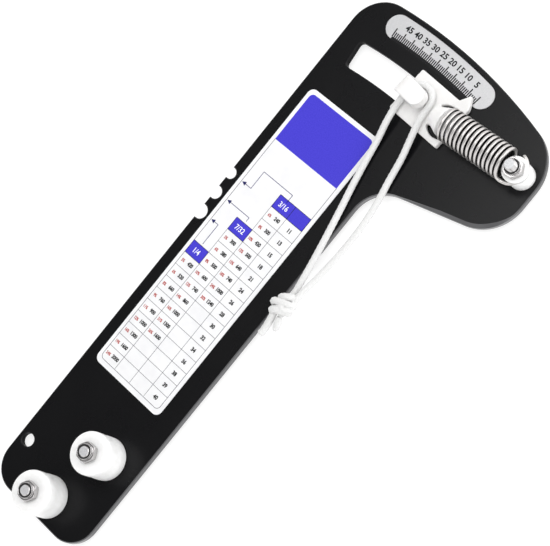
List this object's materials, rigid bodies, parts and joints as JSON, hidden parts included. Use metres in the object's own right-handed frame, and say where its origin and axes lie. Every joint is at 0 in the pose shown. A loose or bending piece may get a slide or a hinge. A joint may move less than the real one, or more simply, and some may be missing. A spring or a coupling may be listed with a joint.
{
  "type": "rigging tension gauge",
  "caption": "Hand gauge for wire rope tension: flat plate with grooved rollers at one end, a sprung hook that slides in a curved slot under a scale at the other, and a pull lanyard.",
  "frame": {"origin": "midway between the two roller axes, on the plate's back face", "axes": "+X across the handle to the spring's side, +Y along the handle from the rollers to the hook, +Z out of the plate's face"},
  "size_m": [0.1147, 0.2661, 0.0264],
  "materials": {
    "black_plate": "satin black powder coat",
    "scale_metal": "satin with black print",
    "label_film": "white printed film",
    "white_nylon": "moulded satin",
    "zinc_steel": "bright zinc plating",
    "spring_steel": "bright drawn wire",
    "white_cord": "braided polyester"
  },
  "bodies": {
    "frame": {"body_plate": "black_plate", "scale_plate": "scale_metal", "rating_label": "label_film", "tension_spring": "spring_steel", "spring_post_bolt": "zinc_steel", "spring_bushing": "white_nylon", "spring_washer": "white_nylon", "spring_post_nut": "zinc_steel", "lower_roller_bolt": "zinc_steel", "upper_roller_bolt": "zinc_steel", "lower_roller_nut": "zinc_steel", "upper_roller_nut": "zinc_steel"},
    "slide": {"hook_slide": "white_nylon", "slide_keeper": "white_nylon", "keeper_screw_inner": "zinc_steel", "keeper_screw_outer": "zinc_steel", "lanyard_loop": "white_cord", "lanyard_knot": "white_cord", "lanyard_tails": "white_cord"},
    "roller_low": {"lower_roller": "white_nylon"},
    "roller_up": {"upper_roller": "white_nylon"}
  },
  "joints": [
    {"name": "hook_travel", "type": "hinge", "parent": "frame", "child": "slide", "pos_m": [0, 0, 0], "axis": [0, 0, 1], "range_deg": [0, 10], "stiffness_Nm_per_rad": 62, "springref_deg": -1.72, "deforming": ["tension_spring"]},
    {"name": "lower_roller_spin", "type": "hinge", "parent": "frame", "child": "roller_low", "pos_m": [-0.00508, -0.01459, 0.011], "axis": [0, 0, 1], "continuous": true},
    {"name": "upper_roller_spin", "type": "hinge", "parent": "frame", "child": "roller_up", "pos_m": [0.00508, 0.01459, 0.011], "axis": [0, 0, 1], "continuous": true}
  ]
}
